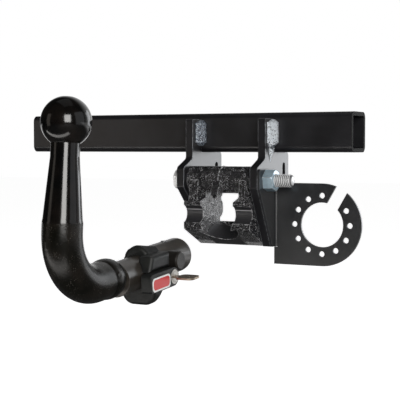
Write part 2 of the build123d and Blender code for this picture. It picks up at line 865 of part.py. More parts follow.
with BuildPart() as release_lever:
    with BuildSketch(side_plane(lever_inner_x)):
        with BuildLine():
            rounded_outline(
                (-pivot_behind, lever_half_height - pivot_below, 0),
                (-pivot_behind - lever_length, lever_half_height - pivot_below, lever_corner),
                (-pivot_behind - lever_length, -lever_half_height - pivot_below, lever_corner),
                (-pivot_behind, -lever_half_height - pivot_below, 0),
            )
        make_face()
        pivot_circle(lever_half_height)
    extrude(amount=lever_outer_x - lever_inner_x)
    fillet(faces().filter_by(Axis.X).edges(), lever_edge)
    with BuildSketch(side_plane(label_floor_x)):
        label_outline()
    extrude(amount=label_thickness, mode=Mode.SUBTRACT)
    with BuildSketch(side_plane(lock_floor_x)):
        pivot_circle(lock_radius)
    extrude(amount=lock_depth, mode=Mode.SUBTRACT)
    with BuildSketch(side_plane(lever_inner_x)):
        pivot_circle(shaft_radius)
    extrude(amount=shaft_right_end - lever_inner_x, mode=Mode.SUBTRACT)
save(release_lever, "release_lever")

with BuildPart() as lever_label:
    with BuildSketch(side_plane(label_floor_x)):
        label_outline()
    extrude(amount=label_thickness)
save(lever_label, "lever_label")

with BuildPart() as lever_shaft:
    with BuildSketch(side_plane(-shaft_left_end)):
        pivot_circle(shaft_radius)
    extrude(amount=shaft_left_end + shaft_right_end)
save(lever_shaft, "lever_shaft")

with BuildPart() as shaft_bushes:
    for left_x in (-bush_outer_x, bush_inner_x):
        with BuildSketch(side_plane(left_x)):
            pivot_circle(bush_radius, shaft_radius + running_play)
        extrude(amount=bush_outer_x - bush_inner_x)
save(shaft_bushes, "shaft_bushes")

with BuildSketch() as resting_cam:
    with BuildLine():
        flank = cam_flank(cam_first_reach)
        Spline(*flank)
        Polyline(flank[-1], (-cam_hub_radius, 0), (0, 0), flank[0])
    make_face()

with BuildPart() as lift_cam:
    with BuildSketch(side_plane(-cam_width / 2)):
        with Locations((-pivot_behind, -pivot_below)):
            add(resting_cam.sketch)
            Circle(cam_hub_radius)
            Circle(shaft_radius, mode=Mode.SUBTRACT)
    extrude(amount=cam_width)
save(lift_cam, "lift_cam")

# Lock cylinder in the lever's head, and the key in its plug
with BuildPart() as lock_housing:
    with BuildSketch(side_plane(lock_floor_x)):
        pivot_circle(lock_radius, plug_radius + running_play)
    extrude(amount=lock_depth + lock_proud)
save(lock_housing, "lock_housing")

plug_face_x = lever_outer_x + plug_proud
blade_left_x = plug_face_x - key_blade_depth
key_low = -pivot_below - key_thickness / 2
with BuildPart() as lock_plug:
    with BuildSketch(side_plane(plug_face_x - plug_depth)):
        pivot_circle(plug_radius)
    extrude(amount=plug_depth)
    with BuildSketch(level_plane(-pivot_behind, key_low)):
        with Locations((plug_face_x, 0)):
            Rectangle(2 * key_blade_depth, key_blade_width)
    extrude(amount=key_thickness, mode=Mode.SUBTRACT)
save(lock_plug, "lock_plug")

bow_left_x = plug_face_x + key_stem
with BuildPart() as key:
    with BuildSketch(level_plane(-pivot_behind, key_low)):
        with Locations((blade_left_x, 0)):
            Rectangle(
                key_blade_depth + key_stem + key_bow_round,
                key_blade_width,
                align=(Align.MIN, Align.CENTER),
            )
        with Locations((bow_left_x + key_bow_length / 2, 0)):
            RectangleRounded(key_bow_length, key_bow_width, key_bow_round)
        for from_stem in key_holes_from_stem:
            with Locations((bow_left_x + from_stem, 0)):
                Circle(key_hole_radius, mode=Mode.SUBTRACT)
    extrude(amount=key_thickness)
save(key, "key")

# Locking wedge: tappet ahead of the cam, push rod, and a slider with a 45 degree ramp
slider_front = lock_bolt_ahead + wedge_radius
with BuildPart() as lock_wedge:
    tappet_rear = cam_first_reach - pivot_behind
    with BuildSketch(section_plane(tappet_rear, wedge_below)):
        Circle(wedge_radius)
        with Locations((0, wedge_below - tappet_top_below)):
            Rectangle(2 * wedge_radius, wedge_radius, align=(Align.CENTER, Align.MIN), mode=Mode.SUBTRACT)
    extrude(amount=tappet_thickness)
    with BuildSketch(section_plane(tappet_rear, wedge_below)):
        Circle(wedge_rod_radius)
    extrude(amount=wedge_rear - tappet_rear)
    with BuildSketch(section_plane(wedge_rear, wedge_below)):
        Circle(wedge_radius)
    extrude(amount=slider_front - wedge_rear)
    with BuildSketch(side_plane(-wedge_radius)):
        with BuildLine():
            Polyline(
                (lock_bolt_ahead - wedge_radius, wedge_radius - wedge_below),
                (slider_front, wedge_radius - wedge_below),
                (slider_front, -wedge_radius - wedge_below),
                close=True,
            )
        make_face()
    extrude(amount=2 * wedge_radius, mode=Mode.SUBTRACT)
save(lock_wedge, "lock_wedge")

# Lock bolt on the ramp, its stem through the top of the barrel, and the return spring round it
with BuildPart() as lock_bolt:
    with BuildSketch(level_plane(lock_bolt_ahead, -wedge_below - wedge_radius)):
        Circle(lock_head_radius)
    extrude(amount=wedge_below + wedge_radius)
    with BuildSketch(level_plane(lock_bolt_ahead, 0)):
        Circle(lock_stem_radius)
    extrude(amount=barrel_top + lock_tip_proud)
    with BuildSketch(side_plane(-lock_head_radius)):
        with BuildLine():
            ramp_left = lock_bolt_ahead - wedge_radius
            Polyline(
                (ramp_left, wedge_radius - wedge_below + ramp_play),
                (slider_front, -wedge_radius - wedge_below + ramp_play),
                (slider_front, -2 * wedge_radius - wedge_below),
                (ramp_left, -2 * wedge_radius - wedge_below),
                close=True,
            )
        make_face()
    extrude(amount=2 * lock_head_radius, mode=Mode.SUBTRACT)
    chamfer(faces().sort_by(Axis.Z)[-1].edges(), lock_tip_proud)
save(lock_bolt, "lock_bolt")

with BuildPart() as bolt_spring:
    coil_height = spring_room_top - 2 * spring_wire_radius - running_play
    coil_start = spring_wire_radius + running_play
    coil_centre = nose + along * lock_bolt_ahead + across_up * coil_start
    with BuildLine() as coil:
        Helix(
            coil_height / spring_turns, coil_height, spring_radius, center=coil_centre, direction=across_up
        )
    with BuildSketch(Plane(origin=coil.line @ 0, z_dir=coil.line % 0)):
        Circle(spring_wire_radius)
    sweep(path=coil.line)
save(bolt_spring, "bolt_spring")


with BuildPart() as pod:
    with BuildSketch(side_plane(pod_inner_x)):
        with BuildLine():
            Polyline(
                (-pod_front, pod_bottom),
                (-pod_front, pod_top),
                (pod_rear_slope - pod_rear, pod_top),
                (-pod_rear, pod_bottom),
                close=True,
            )
        make_face()
    extrude(amount=pod_outer_x - pod_inner_x)
    fillet(faces().sort_by(Axis.X)[-1].edges(), pod_round)


def cover_half(keep):
    """One half of the plastic cover; the right half also carries the pod over the lever."""
    with BuildPart() as half:
        with BuildSketch(section_plane(-cover_rear, cover_centre_below)):
            Ellipse(cover_half_width, cover_half_height)
            Rectangle(
                2 * cover_half_width,
                cover_half_height,
                align=(Align.CENTER, Align.MAX),
                mode=Mode.SUBTRACT,
            )
            with BuildLine():
                rounded_outline(
                    (-cover_half_width, 0, 0),
                    (cover_half_width, 0, 0),
                    (cover_half_width, -cover_depth, cover_bottom_corner),
                    (-cover_half_width, -cover_depth, cover_bottom_corner),
                )
            make_face()
        extrude(amount=cover_rear - cover_front)
        with BuildSketch(side_plane(-cover_half_width)):
            with BuildLine():
                Polyline(
                    (-cover_rear, cover_bottom),
                    (-cover_rear, cover_top),
                    (cover_crown_length - cover_rear, cover_top),
                    (-cover_front, cover_front_top),
                    (-cover_front, cover_bottom + cover_front_cut),
                    (-cover_front - cover_front_cut, cover_bottom),
                    close=True,
                )
            make_face()
        extrude(amount=2 * cover_half_width, mode=Mode.INTERSECT)
        fillet(faces().sort_by(Axis.Y)[0].edges(), cover_rear_round)
        fillet(faces().sort_by(Axis.Y)[-1].edges(), cover_front_round)
        if keep == Keep.TOP:
            cut_point = pivot + Vector(cover_half_width, 0, 0) + forward_down * cover_side_cut
            cut_direction = forward_down + Vector(cover_side_slope, 0, 0)
            split(bisect_by=Plane(origin=cut_point, z_dir=cut_direction), keep=Keep.BOTTOM)
            add(pod.part)
        with BuildSketch(section_plane(-pod_rear - pod_round, waist_below_nose)):
            Circle(waist_radius + cover_play)
        extrude(amount=pod_rear, mode=Mode.SUBTRACT)
        with BuildSketch(side_plane(-cam_room_reach)):
            cam_room_outline()
        extrude(amount=2 * cam_room_reach, mode=Mode.SUBTRACT)
        with BuildSketch(side_plane(-bush_outer_x - cover_play)):
            pivot_circle(bush_radius + cover_play)
        extrude(amount=2 * (bush_outer_x + cover_play), mode=Mode.SUBTRACT)
        if keep == Keep.TOP:
            with BuildSketch(side_plane(0)):
                pivot_circle(shaft_radius + cover_play)
            extrude(amount=cover_half_width, mode=Mode.SUBTRACT)
        for height in cover_screw_heights:
            with BuildSketch(side_plane(-cover_screw_grip)):
                with Locations((-(cover_rear + cover_front) / 2, height)):
                    Circle(cover_screw_radius)
            extrude(amount=2 * cover_screw_grip, mode=Mode.SUBTRACT)
            with BuildSketch(side_plane(-cover_half_width)):
                with Locations((-(cover_rear + cover_front) / 2, height)):
                    Circle(cover_screw_head_radius)
            extrude(amount=cover_half_width - cover_screw_grip, mode=Mode.SUBTRACT)
        split(bisect_by=Plane.YZ, keep=keep)
    return half


cover_left = cover_half(Keep.BOTTOM)
save(cover_left, "cover_left")
cover_right = cover_half(Keep.TOP)
save(cover_right, "cover_right")

with BuildPart() as cover_screws:
    for height in cover_screw_heights:
        head_left_x = -cover_screw_grip - cover_screw_head_height
        for left_x, length, radius in (
            (-cover_screw_grip, 2 * cover_screw_grip, cover_screw_radius),
            (head_left_x, cover_screw_head_height, cover_screw_head_radius),
        ):
            with BuildSketch(side_plane(left_x)):
                with Locations((-(cover_rear + cover_front) / 2, height)):
                    Circle(radius)
            extrude(amount=length)
save(cover_screws, "cover_screws")

print(len(node_names), "nodes written")
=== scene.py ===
"""Looks of a towbar, its ball neck drawn out of the receiver. Metres, in the part's own frame."""

import json
from math import cos, pi, radians, sin

import bmesh
import bpy
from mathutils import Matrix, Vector, noise


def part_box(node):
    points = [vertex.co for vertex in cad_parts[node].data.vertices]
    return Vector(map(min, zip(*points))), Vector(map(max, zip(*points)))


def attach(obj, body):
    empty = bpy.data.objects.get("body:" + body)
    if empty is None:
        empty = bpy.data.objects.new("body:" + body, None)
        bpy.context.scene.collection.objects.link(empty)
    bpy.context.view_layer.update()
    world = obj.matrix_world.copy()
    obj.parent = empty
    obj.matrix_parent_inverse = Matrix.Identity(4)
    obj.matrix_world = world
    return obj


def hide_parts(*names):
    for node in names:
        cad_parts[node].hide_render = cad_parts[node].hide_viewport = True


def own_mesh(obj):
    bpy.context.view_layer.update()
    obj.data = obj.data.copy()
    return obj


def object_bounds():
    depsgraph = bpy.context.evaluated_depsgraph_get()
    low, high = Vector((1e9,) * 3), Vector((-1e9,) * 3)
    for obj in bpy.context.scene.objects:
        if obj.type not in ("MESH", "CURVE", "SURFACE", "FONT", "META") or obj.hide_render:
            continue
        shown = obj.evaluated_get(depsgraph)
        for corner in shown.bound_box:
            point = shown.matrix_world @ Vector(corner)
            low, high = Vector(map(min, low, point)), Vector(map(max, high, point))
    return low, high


MM = 0.001
WHITE = (1, 1, 1)
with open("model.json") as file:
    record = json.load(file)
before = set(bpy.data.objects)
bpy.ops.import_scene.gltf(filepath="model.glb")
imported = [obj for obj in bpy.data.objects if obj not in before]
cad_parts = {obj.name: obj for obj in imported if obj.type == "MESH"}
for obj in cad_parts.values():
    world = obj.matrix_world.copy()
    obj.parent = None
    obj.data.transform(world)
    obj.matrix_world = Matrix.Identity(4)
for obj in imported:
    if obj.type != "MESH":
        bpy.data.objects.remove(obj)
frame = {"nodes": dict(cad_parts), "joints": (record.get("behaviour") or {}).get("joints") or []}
cad_low, cad_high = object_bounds()
nodes = frame["nodes"]
joints = {joint["name"]: joint for joint in frame["joints"]}

# Places of the part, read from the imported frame
bar_low, bar_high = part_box("crossbar")
plate_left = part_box("bracket_left")
plate_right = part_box("bracket_right")
bead_low, bead_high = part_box("weld_beads")
bolt_low, bolt_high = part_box("hitch_bolt")
nut_low, nut_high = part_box("hitch_nut")
pin_low, pin_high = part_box("cross_pin")
cast_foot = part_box("receiver")[0]
ball_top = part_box("ball_neck")[1]
bolt_axis = (bolt_low + bolt_high) / 2
pin_centre = (pin_low + pin_high) / 2
draw = joints["neck_insertion"]
seat = pin_centre + Vector(draw["axis"]) * draw["range_m"][1]
along = Vector(joints["wedge_push"]["axis"])
across = Vector(joints["bolt_lift"]["axis"])


class Wire:
    """A node's output that is used in expressions like a number."""

    def __init__(self, finish, output):
        self.finish = finish
        self.output = output

    def maths(self, operation, *values):
        """One Math node on values, each a number or a wire."""
        inputs = dict(enumerate(values))
        return self.finish.node("ShaderNodeMath", {"operation": operation}, inputs)

    def __add__(self, other):
        return self.maths("ADD", self, other)

    __radd__ = __add__

    def __mul__(self, other):
        return self.maths("MULTIPLY", self, other)

    def __sub__(self, other):
        return self.maths("SUBTRACT", self, other)

    def __rsub__(self, other):
        return self.maths("SUBTRACT", other, self)

    def __pow__(self, other):
        return self.maths("POWER", self, other)

    def __abs__(self):
        return self.maths("ABSOLUTE", self)

    def at_least(self, other):
        return self.maths("MAXIMUM", self, other)

    def at_most(self, other):
        return self.maths("MINIMUM", self, other)

    def rise(self, low, high):
        """0 up to low and 1 from high on, smooth between; it falls where low is above high."""
        if low > high:
            return 1 - self.rise(high, low)
        settings = {"interpolation_type": "SMOOTHSTEP"}
        inputs = {"Value": self, "From Min": low, "From Max": high}
        return self.finish.node("ShaderNodeMapRange", settings, inputs)


def opaque(colour):
    """A colour as a socket takes it; one that comes from a node stays as it is."""
    return colour if isinstance(colour, Wire) else (*colour, 1)


def scaled(colour, share):
    """A colour made darker or lighter by a share."""
    return [channel * share for channel in colour]


# How far a face's normal turns at an edge before it counts as an edge, as a cosine
EDGE_UNTURNED = 0.985
EDGE_TURNED = 0.9
BEVEL_SAMPLES = 6
# Soft rim of a dot, in shares of its radius
DOT_OUTSIDE = 1.3
DOT_INSIDE = 0.8
# Level of the noise above which a speck shows, and how far the wanted cover lowers it
GLINT_LEVEL = 0.62
GLINT_COVER = 0.3
GLINT_SOFT = 0.05


class Finish:
    """A node tree that paints one finish; lengths in its textures are millimetres on the part."""

    def __init__(self, tree):
        self.tree = tree
        tree.nodes.clear()

    def node(self, kind, settings=None, inputs=None, output=0):
        """One node: its settings are set first, then its sockets get their values or links."""
        made = self.tree.nodes.new(kind)
        for name, value in (settings or {}).items():
            setattr(made, name, value)
        for name, value in (inputs or {}).items():
            if isinstance(value, Wire):
                self.tree.links.new(value.output, made.inputs[name])
            else:
                made.inputs[name].default_value = value
        return Wire(self, made.outputs[output]) if made.outputs else None

    def place(self):
        """The point on the piece in millimetres, which stays with the piece as it moves."""
        point = self.node("ShaderNodeTexCoord", output="Object")
        inputs = {0: point, "Scale": 1 / MM}
        return self.node("ShaderNodeVectorMath", {"operation": "SCALE"}, inputs, "Vector")

    def part_of(self, vector, axis):
        """A vector's number along the axis X, Y or Z."""
        return self.node("ShaderNodeSeparateXYZ", None, {0: vector}, axis)

    def distance_from(self, line, place):
        """Distance in millimetres from a line along X through a point of the part."""
        from_y = self.part_of(place, "Y") - line.y / MM
        from_z = self.part_of(place, "Z") - line.z / MM
        return (from_y * from_y + from_z * from_z) ** 0.5

    def grain(self, place, size, detail=2.0, roughness=0.5, distortion=0.0):
        """Soft noise with features of a size in millimetres, about 0.5 on average."""
        inputs = {
            "Vector": place,
            "Scale": 1 / size,
            "Detail": detail,
            "Roughness": roughness,
            "Distortion": distortion,
        }
        return self.node("ShaderNodeTexNoise", None, inputs, "Fac")

    def cells(self, place, size):
        """Distance to the nearest of scattered points, which lie a size in millimetres apart."""
        inputs = {"Vector": place, "Scale": 1 / size}
        return self.node("ShaderNodeTexVoronoi", None, inputs, "Distance")

    def blend(self, share, first, second):
        """A colour between two, by share."""
        inputs = {0: share, 6: opaque(first), 7: opaque(second)}
        return self.node("ShaderNodeMix", {"data_type": "RGBA"}, inputs, 2)

    def rounded_edges(self, radius):
        """The surface's normal with its edges rounded, radius in millimetres."""
        return self.node("ShaderNodeBevel", {"samples": BEVEL_SAMPLES}, {"Radius": radius * MM})

    def edge_band(self, radius):
        """1 along edges that a radius in millimetres would round, 0 on the flats."""
        flat = self.node("ShaderNodeNewGeometry", output="Normal")
        inputs = {0: flat, 1: self.rounded_edges(radius)}
        alike = self.node("ShaderNodeVectorMath", {"operation": "DOT_PRODUCT"}, inputs, "Value")
        return alike.rise(EDGE_UNTURNED, EDGE_TURNED)

    def dots(self, place, spacing, radius):
        """1 on small scattered dots, spacing and radius in millimetres, else 0."""
        apart = self.cells(place, spacing)
        return apart.rise(radius * DOT_OUTSIDE / spacing, radius * DOT_INSIDE / spacing)

    def glints(self, place, size, share):
        """1 on specks of a size in millimetres, more of them with a larger share, else 0."""
        fine = self.grain(place, size, detail=1.0, distortion=0.6)
        level = GLINT_LEVEL - share * GLINT_COVER
        return fine.rise(level, level + GLINT_SOFT)

    def relief(self, height, depth, normal=None):
        """A normal raised by a height of 0 to 1 that is depth millimetres tall."""
        inputs = {"Strength": 1.0, "Distance": depth * MM, "Height": height}
        if normal is not None:
            inputs["Normal"] = normal
        return self.node("ShaderNodeBump", None, inputs)


def new_finish(name):
    """An empty material and the finish that paints it."""
    material = bpy.data.materials.new(name)
    material.use_nodes = True
    return material, Finish(material.node_tree)


def shading(finish, **sockets):
    """A surface shader; a name's underscores stand for spaces."""
    inputs = {name.replace("_", " "): value for name, value in sockets.items()}
    return finish.node("ShaderNodeBsdfPrincipled", None, inputs)


def surface(finish, **sockets):
    """Closes a finish with one surface shader."""
    finish.node("ShaderNodeOutputMaterial", None, {"Surface": shading(finish, **sockets)})


# Powder coat on the bar, the side plates and the socket plate; the bar's end faces in millimetres
COAT_RUBBED_AND_HIGHLIT = (0.62, 0.66, 0.72)
SAWN_BLACK = (0.002, 0.002, 0.002)
SAWN_OUTSIDE = 0.6
SAWN_INSIDE = 0.3


def sawn_ends(finish, place):
    """1 on the two sawn end faces of the bar, 0 along it."""
    middle = (bar_low.x + bar_high.x) / 2 / MM
    reach = (bar_high.x - bar_low.x) / 2 / MM
    from_middle = abs(finish.part_of(place, "X") - middle)
    return from_middle.rise(reach - SAWN_OUTSIDE, reach - SAWN_INSIDE)


def satin_powder_coat(name, shade, edge, wear, is_bar=False):
    """Satin black powder coat: faint orange peel, dust-fine grain, edges worn and painted pale as a
    highlight by a share.
    """
    material, finish = new_finish(name)
    place = finish.place()
    peel = finish.grain(place, 1.6, detail=1.0)
    cloud = finish.grain(place, 38.0, detail=3.0)
    speck = finish.grain(place, 0.35)
    # Worn edges painted pale: bare metal, and a painted highlight along the edges
    rubbed_and_highlit_edges = finish.edge_band(edge * 1.6) * finish.grain(place, 6.0).rise(0.3, 0.55) * wear
    clean = finish.blend(cloud.rise(0.3, 0.7), scaled(shade, 0.75), scaled(shade, 1.3))
    paint = finish.blend(rubbed_and_highlit_edges, clean, COAT_RUBBED_AND_HIGHLIT)
    sawn = sawn_ends(finish, place) if is_bar else 0
    surface(
        finish,
        Base_Color=finish.blend(sawn, paint, SAWN_BLACK),
        Roughness=0.26 + cloud * 0.1 + speck * 0.06 + sawn * 0.6,
        Specular_IOR_Level=0.7,
        Coat_Weight=(1 - sawn) * 0.2,
        Coat_Roughness=0.18,
        Normal=finish.relief(peel * 0.8 + speck * 0.2, 0.05, finish.rounded_edges(edge)),
    )
    return material


# The casting's smooth places and painted highlights in millimetres: radii from the seated pin's
# axis, heights above the casting's foot and distances from its middle
SADDLE_START, SADDLE_FULL = 11.7, 11.2
# A painted highlight line along each saddle, this far above the seated pin's axis, and its soft
# edges
SADDLE_HIGHLIGHT_RISE = 5.5
SADDLE_HIGHLIGHT_FULL, SADDLE_HIGHLIGHT_END = 0.3, 0.8
TRAY_TOP, TRAY_FLOOR = 26.5, 25.0
TRAY_SIDE_FULL, TRAY_SIDE_END = 21.0, 23.0
# Painted highlight on the cheeks' lower outer corners
TOE_TOP, TOE_FULL = 7.0, 4.0
TOE_SIDE_START, TOE_SIDE_FULL = 20.0, 25.0
TOE_BOTTOM = 1.0
CAST_BLACK = (0.006, 0.006, 0.008)
CAST_WORN_BLACK = (0.026, 0.026, 0.029)
# Colour of the painted highlights: glint dots, edge rims, the saddle line and the lower corners
CAST_PAINTED_HIGHLIGHT = (0.85, 0.85, 0.88)


def casting_tray(from_foot, from_middle):
    """1 on the low tray between the saddles."""
    low = from_foot.rise(TRAY_TOP, TRAY_FLOOR)
    return low * (1 - from_middle.rise(TRAY_SIDE_FULL, TRAY_SIDE_END))


def casting_toe(from_foot, from_middle):
    """1 on the two lower outer corners, where a highlight is painted."""
    low = from_foot.rise(TOE_TOP, TOE_FULL) * from_foot.rise(-TOE_BOTTOM, TOE_BOTTOM)
    return low * from_middle.rise(TOE_SIDE_START, TOE_SIDE_FULL)


def casting_painted_highlights(finish, place, saddle, toe, rough):
    """How bright the casting's painted highlights are: glint dots, edge rims, the lower corners and
    a line along the saddles.
    """
    from_saddle_line = abs(finish.part_of(place, "Z") - (seat.z / MM + SADDLE_HIGHLIGHT_RISE))
    sparse = finish.grain(place, 6.5).rise(0.34, 0.62)
    painted_glint_dots = finish.dots(place, 1.35, 0.36) * sparse * rough
    painted_rim_highlights = finish.edge_band(1.3) * finish.grain(place, 3.0).rise(0.42, 0.55)
    painted_saddle_line = saddle * (1 - from_saddle_line.rise(SADDLE_HIGHLIGHT_FULL, SADDLE_HIGHLIGHT_END))
    painted_toe_glints = toe * finish.glints(place, 1.6, 0.6)
    return (painted_glint_dots + painted_rim_highlights * 0.8 + painted_toe_glints + painted_saddle_line * 0.5).rise(0.0, 1.0)


def painted_casting():
    """Gloss black paint over a rough sand casting, worn smooth and dark in the two saddles, with
    painted highlights as bright specks, rims and lines.
    """
    material, finish = new_finish("painted_casting")
    place = finish.place()
    sand = finish.grain(place, 2.0, detail=3.0, roughness=0.6, distortion=0.4)
    pits = finish.cells(place, 2.6).rise(0.1, 0.75)
    lumps = finish.grain(place, 9.0)
    from_foot = finish.part_of(place, "Z") - cast_foot.z / MM
    from_middle = abs(finish.part_of(place, "X"))
    saddle = finish.distance_from(seat, place).rise(SADDLE_START, SADDLE_FULL)
    smooth = (saddle + casting_tray(from_foot, from_middle) * 0.85).rise(0.0, 1.0)
    skin = (sand.rise(0.3, 0.7) * 0.6 + pits * 0.4) * (1 - smooth * 0.9) + lumps * 0.3
    toe = casting_toe(from_foot, from_middle)
    painted_highlight_share = casting_painted_highlights(finish, place, saddle, toe, 1 - smooth)
    paint = finish.blend(smooth, CAST_BLACK, CAST_WORN_BLACK)
    surface(
        finish,
        # Painted highlights laid over the paint
        Base_Color=finish.blend(painted_highlight_share, paint, CAST_PAINTED_HIGHLIGHT),
        Roughness=0.16 + smooth * 0.18 + sand * 0.08,
        IOR=1.55,
        Specular_IOR_Level=0.7,
        Coat_Weight=finish.dots(place, 1.8, 0.55) * (1 - smooth),
        Coat_Roughness=0.1,
        Coat_IOR=1.7,
        Normal=finish.relief(skin, 1.6, finish.rounded_edges(0.9)),
    )
    return material


# The ball neck in millimetres: its turned shank ends some way below the ball's centre, and the
# rough forging starts there
BALL_CENTRE_BELOW_TOP = 24.2
SHANK_DEPTH = 97.0
SHANK_END_SOFT = 1.5
GLOSS_BLACK = (0.002, 0.002, 0.002)
GLOSS_DUST = (0.008, 0.006, 0.005)
FORGING_BLACK = (0.003, 0.003, 0.002)
FORGING_BROWN = (0.012, 0.010, 0.008)
# Colour of the painted glint specks on the forging
FORGING_PAINTED_GLINT = (0.11, 0.10, 0.09)


def neck_paint():
    """Deep gloss black over the turned ball and shank, satin brown-black with painted glint specks
    over the forging.
    """
    material, finish = new_finish("neck_paint")
    place = finish.place()
    dust = finish.grain(place, 22.0, detail=4.0)
    scale = finish.grain(place, 1.3)
    edges = finish.rounded_edges(0.8)
    gloss = shading(
        finish,
        Base_Color=finish.blend(dust.rise(0.4, 0.75), GLOSS_BLACK, GLOSS_DUST),
        Roughness=0.11 + dust * 0.05,
        Specular_IOR_Level=0.5,
        Normal=finish.relief(finish.grain(place, 3.2, detail=1.0), 0.012, edges),
    )
    # Painted highlight specks over the forging
    painted_glint_specks = finish.dots(place, 1.5, 0.25) * finish.grain(place, 9.0).rise(0.45, 0.62)
    brown = finish.blend(dust.rise(0.35, 0.75), FORGING_BLACK, FORGING_BROWN)
    satin = shading(
        finish,
        Base_Color=finish.blend(painted_glint_specks, brown, FORGING_PAINTED_GLINT),
        Roughness=0.17 + scale * 0.1,
        Specular_IOR_Level=0.24,
        Normal=finish.relief(scale, 0.2, edges),
    )
    shank_end = ball_top.z / MM - BALL_CENTRE_BELOW_TOP - SHANK_DEPTH
    height = finish.part_of(place, "Z")
    forged = height.rise(shank_end + SHANK_END_SOFT, shank_end - SHANK_END_SOFT)
    mixed = finish.node("ShaderNodeMixShader", None, {0: forged, 1: gloss, 2: satin})
    finish.node("ShaderNodeOutputMaterial", None, {"Surface": mixed})
    return material


# Fine lines that a lathe left, per millimetre along the barrel
TURNING_LINES = 2.5


def blackened_steel(name, dark, light, gloss):
    """Brown-black satin steel, turned round the barrel's own axis."""
    material, finish = new_finish(name)
    place = finish.place()
    run_y = finish.part_of(place, "Y") - pin_centre.y / MM
    run_z = finish.part_of(place, "Z") - pin_centre.z / MM
    from_pin = run_y * along.y + run_z * along.z
    lines = {"W": from_pin * TURNING_LINES, "Detail": 3.0}
    turning = finish.node("ShaderNodeTexNoise", {"noise_dimensions": "1D"}, lines)
    cloud = finish.grain(place, 14.0, detail=3.0)
    surface(
        finish,
        Base_Color=finish.blend(cloud.rise(0.3, 0.75), dark, light),
        Roughness=0.3 + turning * 0.12,
        Specular_IOR_Level=gloss,
        Coat_Weight=gloss * 0.3,
        Coat_Roughness=0.2,
        Normal=finish.relief(turning, 0.03, finish.rounded_edges(0.6)),
    )
    return material


ZINC_BLUE = (0.52, 0.68, 0.78)
ZINC_EDGE = 0.9


def zinc_plate():
    """Bright zinc plate with a bluish passivation, small tool marks and a white painted highlight
    along its edges.
    """
    material, finish = new_finish("zinc_plate")
    place = finish.place()
    cloud = finish.grain(place, 5.0, detail=3.0, roughness=0.6)
    marks = finish.grain(place, 0.8, detail=3.0)
    plate = finish.blend(cloud.rise(0.3, 0.7), ZINC_BLUE, scaled(ZINC_BLUE, 1.2))
    surface(
        finish,
        # White painted highlight along the edges
        Base_Color=finish.blend(finish.edge_band(ZINC_EDGE), plate, WHITE),
        Metallic=0.6,
        Roughness=0.24 + cloud * 0.12,
        Normal=finish.relief(marks, 0.03, finish.rounded_edges(ZINC_EDGE)),
    )
    return material


PLASTIC_DARK = (0.011, 0.012, 0.012)
PLASTIC_LIGHT = (0.018, 0.019, 0.018)


def moulded_plastic():
    """Matt black moulded plastic with a fine spark-eroded grain."""
    material, finish = new_finish("moulded_plastic")
    place = finish.place()
    erosion = finish.cells(place, 0.55)
    cloud = finish.grain(place, 16.0)
    surface(
        finish,
        Base_Color=finish.blend(cloud.rise(0.35, 0.7), PLASTIC_DARK, PLASTIC_LIGHT),
        Roughness=0.4 + cloud * 0.1,
        Specular_IOR_Level=0.3,
        Normal=finish.relief(erosion, 0.04, finish.rounded_edges(0.6)),
    )
    return material


# The label's outline on the lever, in millimetres
LABEL_LENGTH = 38.2
LABEL_HEIGHT = 14.7
LABEL_CORNER = 6.3
LABEL_BORDER = 1.8
LABEL_BORDER_SOFT = 0.15
LABEL_RED = (0.66, 0.035, 0.038)
LABEL_WHITE = (0.96, 0.95, 0.94)


def label_edge_distance(finish, place):
    """Distance from the label's rounded outline in millimetres, negative inside it."""
    label_low, label_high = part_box("lever_label")
    middle = (label_low + label_high) / 2
    run_y = finish.part_of(place, "Y") - middle.y / MM
    run_z = finish.part_of(place, "Z") - middle.z / MM
    forward = abs(run_y * along.y + run_z * along.z) - (LABEL_LENGTH / 2 - LABEL_CORNER)
    upward = abs(run_y * across.y + run_z * across.z) - (LABEL_HEIGHT / 2 - LABEL_CORNER)
    forward_out = forward.at_least(0.0)
    upward_out = upward.at_least(0.0)
    past_corner = (forward_out * forward_out + upward_out * upward_out) ** 0.5
    return past_corner + forward.at_least(upward).at_most(0.0) - LABEL_CORNER


def lever_label_print():
    """Glossy red label with a white line round its rounded edge."""
    material, finish = new_finish("lever_label_print")
    from_edge = label_edge_distance(finish, finish.place())
    border = from_edge.rise(-LABEL_BORDER - LABEL_BORDER_SOFT, -LABEL_BORDER + LABEL_BORDER_SOFT)
    surface(
        finish,
        Base_Color=finish.blend(border, LABEL_RED, LABEL_WHITE),
        Roughness=0.32 + border * 0.1,
        Specular_IOR_Level=0.4,
        Coat_Weight=0.08,
        Coat_Roughness=0.1,
    )
    return material


def polished_metal(name, tint, roughness):
    """Polished or ground metal with fine wear scratches."""
    material, finish = new_finish(name)
    place = finish.place()
    cloud = finish.grain(place, 3.0, detail=4.0, roughness=0.6)
    scratches = finish.grain(place, 0.25)
    surface(
        finish,
        Base_Color=finish.blend(cloud.rise(0.35, 0.7), scaled(tint, 0.72), tint),
        Metallic=1.0,
        Roughness=roughness + cloud * 0.1,
        Normal=finish.relief(scratches, 0.01, finish.rounded_edges(0.3)),
    )
    return material


RUBBER_DARK = (0.012, 0.012, 0.012)
RUBBER_LIGHT = (0.022, 0.022, 0.022)


def seal_rubber():
    """Matt black rubber with a mould's fine skin."""
    material, finish = new_finish("seal_rubber")
    skin = finish.grain(finish.place(), 0.6, detail=3.0)
    surface(
        finish,
        Base_Color=finish.blend(skin, RUBBER_DARK, RUBBER_LIGHT),
        Roughness=0.7 + skin * 0.1,
        Normal=finish.relief(skin, 0.03),
    )
    return material


